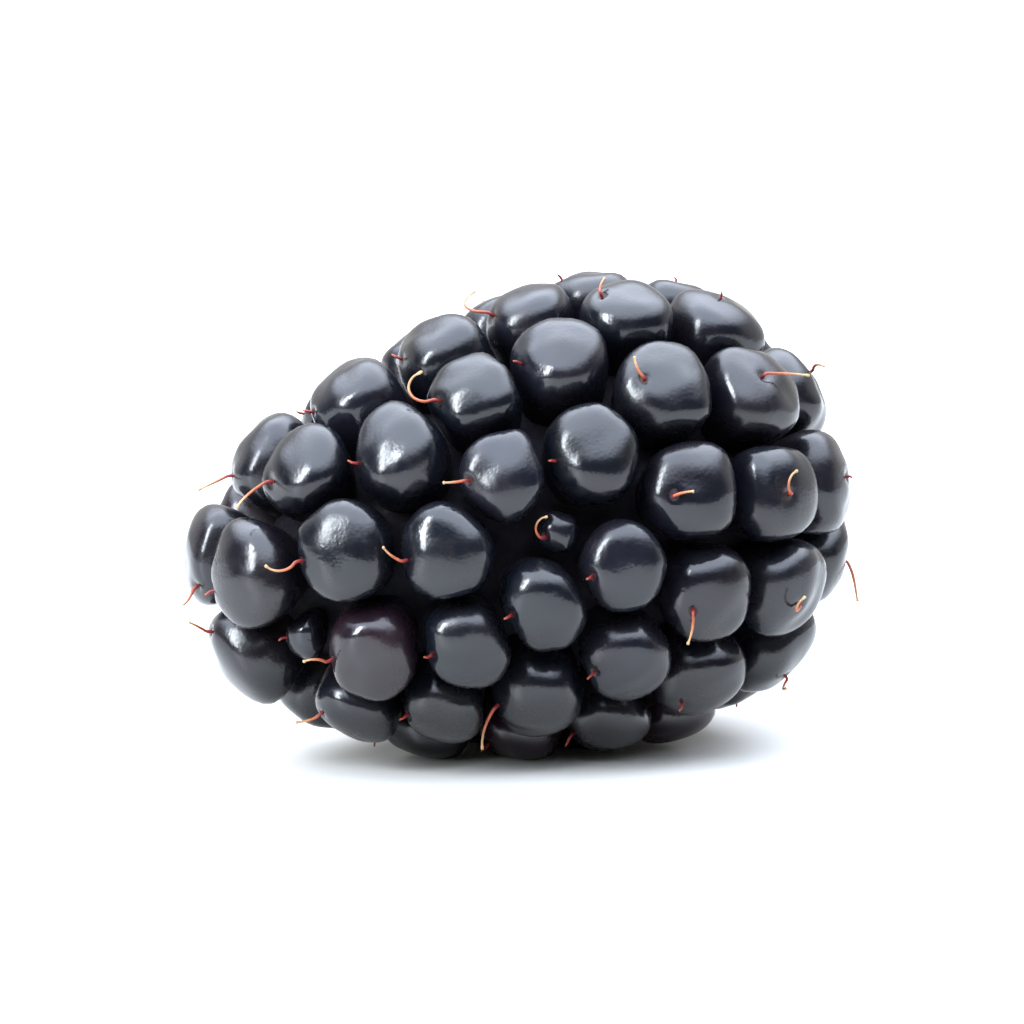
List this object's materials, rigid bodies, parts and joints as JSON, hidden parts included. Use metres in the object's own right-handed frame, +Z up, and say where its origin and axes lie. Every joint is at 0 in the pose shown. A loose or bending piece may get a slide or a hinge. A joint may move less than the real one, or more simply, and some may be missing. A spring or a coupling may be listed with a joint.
{
  "type": "bramble berry",
  "caption": "Ripe bramble berry picked without its stalk: glossy near-black drupelets packed round a receptacle, with curled dried styles on them, lying on its side.",
  "frame": {"origin": "on the surface the berry lies on, under the middle of its bounding box", "axes": "+X along the berry from its tip to its stem end, +Z up from the surface, +Y to the far side"},
  "size_m": [0.0308, 0.0212, 0.0212],
  "materials": {
    "berry_skin": "taut, moist fruit skin, near-black with a blue-purple cast",
    "dry_style": "dry plant hair, orange-brown and matte"
  },
  "bodies": {
    "root": {"berry": "berry_skin", "dried_style_01": "dry_style", "dried_style_02": "dry_style", "dried_style_03": "dry_style", "dried_style_04": "dry_style", "dried_style_05": "dry_style", "dried_style_06": "dry_style", "dried_style_07": "dry_style", "dried_style_08": "dry_style", "dried_style_09": "dry_style", "dried_style_10": "dry_style", "dried_style_11": "dry_style", "dried_style_12": "dry_style", "dried_style_13": "dry_style", "dried_style_14": "dry_style", "dried_style_15": "dry_style", "dried_style_16": "dry_style", "dried_style_17": "dry_style", "dried_style_18": "dry_style", "dried_style_19": "dry_style", "dried_style_20": "dry_style", "dried_style_21": "dry_style", "dried_style_22": "dry_style", "dried_style_23": "dry_style", "dried_style_24": "dry_style", "dried_style_25": "dry_style", "dried_style_26": "dry_style", "dried_style_27": "dry_style", "dried_style_28": "dry_style", "dried_style_29": "dry_style", "dried_style_30": "dry_style", "dried_style_31": "dry_style", "dried_style_32": "dry_style", "dried_style_33": "dry_style", "dried_style_34": "dry_style", "dried_style_35": "dry_style", "dried_style_36": "dry_style", "dried_style_37": "dry_style", "dried_style_38": "dry_style", "dried_style_39": "dry_style"}
  },
  "joints": []
}
